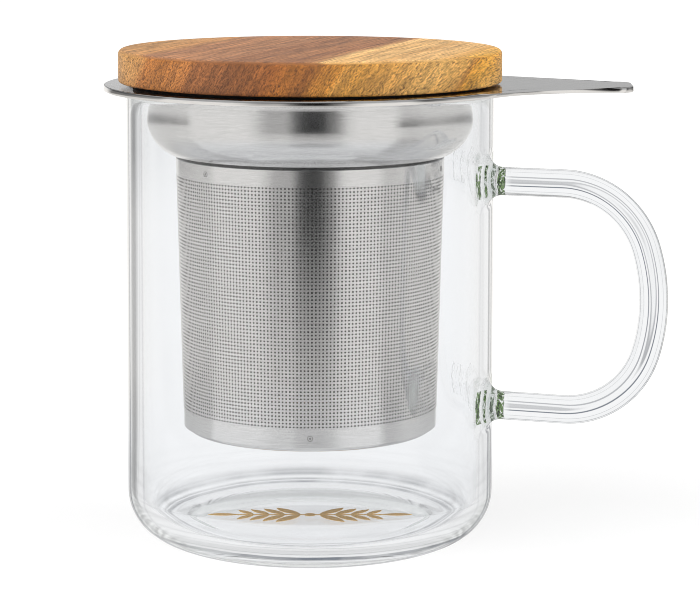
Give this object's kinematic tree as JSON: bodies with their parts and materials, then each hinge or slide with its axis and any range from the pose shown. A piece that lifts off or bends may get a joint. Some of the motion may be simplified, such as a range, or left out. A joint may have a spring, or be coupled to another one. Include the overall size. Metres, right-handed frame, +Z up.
{
  "type": "lidded tea mug with infuser",
  "caption": "Clear glass tea mug with a rod handle, a hanging perforated steel infuser with a lifting tab, and a lift-off round wooden lid.",
  "frame": {"origin": "centre of the glass foot ring on the table, on the mug's axis", "axes": "+Z up along the mug's axis, +X towards the handle, which lies in the XZ plane"},
  "size_m": [0.1398, 0.101, 0.1205],
  "materials": {
    "clear_glass": "clear fire-polished borosilicate",
    "gilding": "printed gold",
    "drawn_steel": "finely brushed",
    "perforated_steel": "brushed perforated sheet",
    "weld_steel": "dimpled spot weld",
    "acacia_wood": "oiled",
    "silicone": "matt"
  },
  "bodies": {
    "mug": {"mug_body": "clear_glass", "mug_handle": "clear_glass", "base_ornament": "gilding"},
    "infuser": {"infuser_bowl": "drawn_steel", "basket_sleeve": "perforated_steel", "basket_floor": "perforated_steel", "upper_spot_welds": "weld_steel", "lower_spot_welds": "weld_steel"},
    "lid": {"lid_disc": "acacia_wood", "lid_seal": "silicone"}
  },
  "joints": [
    {"name": "infuser_lift", "type": "slide", "parent": "mug", "child": "infuser", "axis": [0, 0, 1], "range_m": [0, 0.1]},
    {"name": "lid_lift", "type": "slide", "parent": "infuser", "child": "lid", "axis": [0, 0, 1], "range_m": [0, 0.05]}
  ]
}
